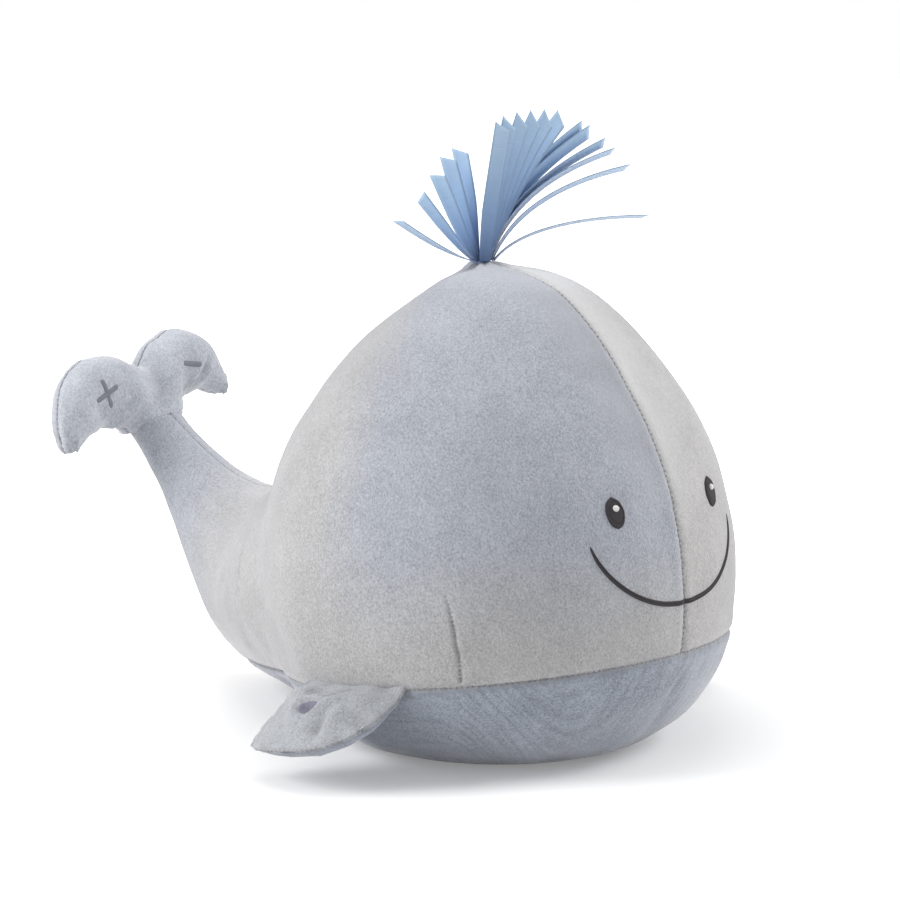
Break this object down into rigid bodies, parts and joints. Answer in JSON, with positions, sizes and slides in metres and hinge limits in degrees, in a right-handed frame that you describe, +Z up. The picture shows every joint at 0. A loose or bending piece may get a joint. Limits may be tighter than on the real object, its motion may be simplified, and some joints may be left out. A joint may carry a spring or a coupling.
{
  "type": "plush whale",
  "caption": "Stuffed whale in two tones of velour with embroidered face, ribbon tuft at the crown, and press buttons in tail and flipper for a sound module in its belly.",
  "frame": {"origin": "on the floor under the axis of the head, in the middle of the flat underside", "axes": "+Z up, the whale faces -Y, its tail points to +Y and its right side is -X"},
  "size_m": [0.2366, 0.312, 0.2456],
  "materials": {
    "pale_velour": "short pile velour",
    "blue_velour": "short pile velour",
    "stuffing": "loose polyester fibre",
    "blue_satin": "woven satin",
    "dark_thread": "satin stitch",
    "grey_thread": "satin stitch",
    "white_plastic": "fine texture",
    "black_plastic": "fine texture",
    "green_board": "solder resist",
    "cell_wrap": "plain shrink film",
    "bright_steel": "plated",
    "pouch_cloth": "plain weave"
  },
  "bodies": {
    "body": {"battery_1": "cell_wrap", "battery_2": "cell_wrap", "battery_contact_1": "bright_steel", "battery_contact_2": "bright_steel", "battery_door": "white_plastic", "belly_panel": "blue_velour", "body_filling": "stuffing", "case_screw_1": "bright_steel", "case_screw_2": "bright_steel", "circuit_board": "green_board", "eye_left": "dark_thread", "eye_right": "dark_thread", "hook_strip": "white_plastic", "lead_to_flipper": "black_plastic", "lead_to_fluke": "black_plastic", "loop_strip": "pouch_cloth", "loudspeaker": "black_plastic", "module_case_base": "white_plastic", "module_case_cover": "white_plastic", "module_pouch": "pouch_cloth", "side_panel_left": "pale_velour", "side_panel_right": "pale_velour", "smile": "dark_thread", "tail_filling": "stuffing"},
    "fluke": {"fluke_front_panel": "pale_velour", "fluke_back_panel": "pale_velour", "fluke_filling": "stuffing", "plus_sign": "grey_thread", "minus_sign": "grey_thread", "button_plus_base": "white_plastic", "button_minus_base": "white_plastic"},
    "flipper_right": {"flipper_right_upper": "pale_velour", "flipper_right_lower": "blue_velour", "flipper_right_filling": "stuffing", "note_sign": "grey_thread", "button_note_base": "white_plastic"},
    "flipper_left": {"flipper_left_upper": "pale_velour", "flipper_left_lower": "blue_velour", "flipper_left_filling": "stuffing"},
    "ribbon_tuft": {"ribbon_01": "blue_satin", "ribbon_02": "blue_satin", "ribbon_03": "blue_satin", "ribbon_04": "blue_satin", "ribbon_05": "blue_satin", "ribbon_06": "blue_satin", "ribbon_07": "blue_satin", "ribbon_08": "blue_satin", "ribbon_09": "blue_satin", "ribbon_10": "blue_satin", "ribbon_11": "blue_satin", "ribbon_12": "blue_satin", "ribbon_13": "blue_satin", "ribbon_14": "blue_satin", "ribbon_15": "blue_satin", "ribbon_16": "blue_satin", "ribbon_17": "blue_satin"},
    "button_plus_cap": {"button_plus_cap": "white_plastic"},
    "button_minus_cap": {"button_minus_cap": "white_plastic"},
    "button_note_cap": {"button_note_cap": "white_plastic"},
    "power_switch": {"power_switch_slider": "black_plastic"}
  },
  "joints": [
    {"name": "fluke_bend", "type": "hinge", "parent": "body", "child": "fluke", "pos_m": [0, 0.2, 0.105], "axis": [0.9941, 0.0841, 0.0682], "range_deg": [-10, 10], "stiffness_Nm_per_rad": 0.4},
    {"name": "flipper_right_flap", "type": "hinge", "parent": "body", "child": "flipper_right", "pos_m": [-0.08779, -0.029, 0.037], "axis": [0, 0.9944, -0.1053], "range_deg": [-8, 35], "stiffness_Nm_per_rad": 0.15},
    {"name": "flipper_left_flap", "type": "hinge", "parent": "body", "child": "flipper_left", "pos_m": [0.08779, -0.029, 0.037], "axis": [0, -0.9944, 0.1053], "range_deg": [-8, 35], "stiffness_Nm_per_rad": 0.15},
    {"name": "ribbon_tuft_sway", "type": "hinge", "parent": "body", "child": "ribbon_tuft", "pos_m": [0, 0.00783, 0.18622], "axis": [1, 0, 0], "range_deg": [-10, 10], "stiffness_Nm_per_rad": 0.01},
    {"name": "button_plus_press", "type": "slide", "parent": "fluke", "child": "button_plus_cap", "axis": [-0.0682, 0.9758, -0.2079], "range_m": [0, 0.0008], "stiffness_N_per_m": 2500},
    {"name": "button_minus_press", "type": "slide", "parent": "fluke", "child": "button_minus_cap", "axis": [-0.0682, 0.9758, -0.2079], "range_m": [0, 0.0008], "stiffness_N_per_m": 2500},
    {"name": "button_note_press", "type": "slide", "parent": "flipper_right", "child": "button_note_cap", "axis": [0.5856, -0.0853, -0.8061], "range_m": [0, 0.0008], "stiffness_N_per_m": 2500},
    {"name": "power_switch_slide", "type": "slide", "parent": "body", "child": "power_switch", "axis": [1, 0, 0], "range_m": [-0.0015, 0.0015]}
  ]
}
